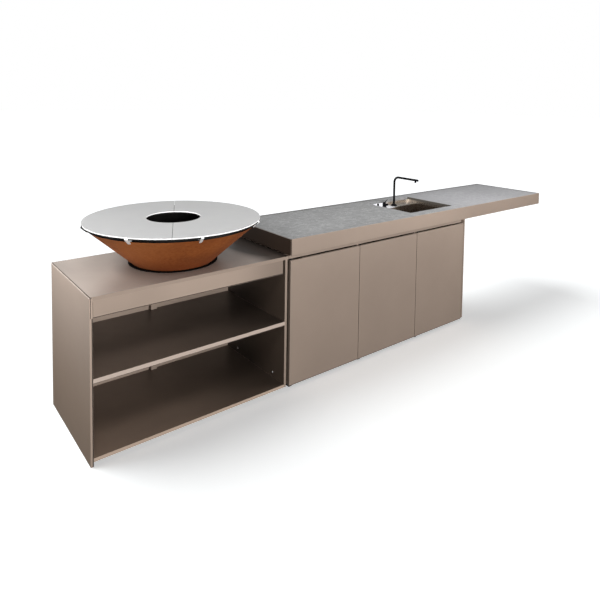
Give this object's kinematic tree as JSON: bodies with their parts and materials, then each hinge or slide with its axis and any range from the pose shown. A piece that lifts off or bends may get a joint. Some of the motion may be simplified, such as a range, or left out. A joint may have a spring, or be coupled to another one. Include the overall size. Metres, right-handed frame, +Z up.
{
  "type": "outdoor kitchen",
  "caption": "Outdoor kitchen run: open grill cabinet with a fire bowl and ring-shaped plate, door cabinet with sink and tap, and a thick worktop that runs on as a bar.",
  "frame": {"origin": "on the floor, under the middle of the run's bounding box", "axes": "+X along the run from the grill to the bar, +Y to the back, +Z up"},
  "size_m": [4.194, 1.0375, 1.169],
  "materials": {
    "taupe_coat": "satin",
    "frame_steel": "matte",
    "stainless": "satin",
    "weathering_steel": "matte",
    "black_coat": "satin",
    "black_plastic": "matte",
    "stone": "matte",
    "heat_board": "matte"
  },
  "bodies": {
    "kitchen": {"end_panel": "taupe_coat", "inner_side_panel": "taupe_coat", "grill_bottom": "taupe_coat", "grill_shelf": "taupe_coat", "shelf_cleats": "taupe_coat", "back_panel_left": "taupe_coat", "back_panel_right": "taupe_coat", "back_post": "taupe_coat", "grill_beams": "frame_steel", "heat_board": "heat_board", "grill_top": "taupe_coat", "grill_fascia": "taupe_coat", "grill_feet": "black_plastic", "joining_bolts": "stainless", "bowl_ring": "black_coat", "fire_bowl": "weathering_steel", "plate_clips": "stainless", "cabinet_side_left": "taupe_coat", "cabinet_side_right": "taupe_coat", "partition_1": "taupe_coat", "partition_2": "taupe_coat", "cabinet_bottom": "taupe_coat", "cabinet_back": "taupe_coat", "rail_front": "taupe_coat", "rail_back": "taupe_coat", "cabinet_feet": "black_plastic", "bay_shelf_1": "taupe_coat", "bay_shelf_2": "taupe_coat", "shelf_clips": "stainless", "door_catches": "black_plastic", "top_pivots": "stainless", "bottom_pivots": "stainless", "worktop_front": "taupe_coat", "worktop_back": "taupe_coat", "worktop_end_left": "taupe_coat", "worktop_end_right": "taupe_coat", "worktop_beams": "frame_steel", "worktop_braces": "frame_steel", "bar_underside": "taupe_coat", "stone_top": "stone", "sink_bowl": "stainless", "drain_cup": "stainless", "bottle_trap": "black_plastic", "tap_base": "black_coat", "mixer_body": "black_coat", "plug_knob_base": "black_coat", "tap_nuts": "stainless"},
    "door_1": {"door_1": "taupe_coat"},
    "door_2": {"door_2": "taupe_coat"},
    "door_3": {"door_3": "taupe_coat"},
    "plate_left": {"plate_left": "stainless"},
    "plate_right": {"plate_right": "stainless"},
    "spout": {"tap_spout": "black_coat", "tap_nozzle": "black_coat"},
    "lever": {"mixer_lever": "black_coat"},
    "mixer_knob": {"mixer_knob": "black_coat"},
    "plug_knob": {"plug_knob": "black_coat"},
    "plug": {"drain_plug": "stainless"}
  },
  "joints": [
    {"name": "door_1_hinge", "type": "hinge", "parent": "kitchen", "child": "door_1", "pos_m": [-0.871, -0.342, 0.417], "axis": [0, 0, -1], "range_deg": [0, 105]},
    {"name": "door_2_hinge", "type": "hinge", "parent": "kitchen", "child": "door_2", "pos_m": [-0.271, -0.342, 0.417], "axis": [0, 0, -1], "range_deg": [0, 105]},
    {"name": "door_3_hinge", "type": "hinge", "parent": "kitchen", "child": "door_3", "pos_m": [0.329, -0.342, 0.417], "axis": [0, 0, -1], "range_deg": [0, 105]},
    {"name": "plate_left_lift", "type": "slide", "parent": "kitchen", "child": "plate_left", "axis": [0, 0, 1], "range_m": [0, 0.12]},
    {"name": "plate_right_lift", "type": "slide", "parent": "kitchen", "child": "plate_right", "axis": [0, 0, 1], "range_m": [0, 0.12]},
    {"name": "spout_swivel", "type": "hinge", "parent": "kitchen", "child": "spout", "pos_m": [0.617, 0.157, 0.912], "axis": [0, 0, 1], "range_deg": [-110, 110]},
    {"name": "lever_turn", "type": "hinge", "parent": "kitchen", "child": "lever", "pos_m": [0.499, 0.157, 0.946], "axis": [0, 0, 1], "range_deg": [-50, 50]},
    {"name": "mixer_knob_turn", "type": "hinge", "parent": "kitchen", "child": "mixer_knob", "pos_m": [0.519, 0.157, 0.929], "axis": [1, 0, 0], "range_deg": [0, 90]},
    {"name": "plug_knob_pull", "type": "slide", "parent": "kitchen", "child": "plug_knob", "axis": [0, 0, 1], "range_m": [0, 0.01]},
    {"name": "plug_lift", "type": "slide", "parent": "kitchen", "child": "plug", "axis": [0, 0, 1], "range_m": [0, 0.008]}
  ],
  "couplings": [
    {"joint": "plug_lift", "follows": "plug_knob_pull", "ratio": 0.8}
  ]
}
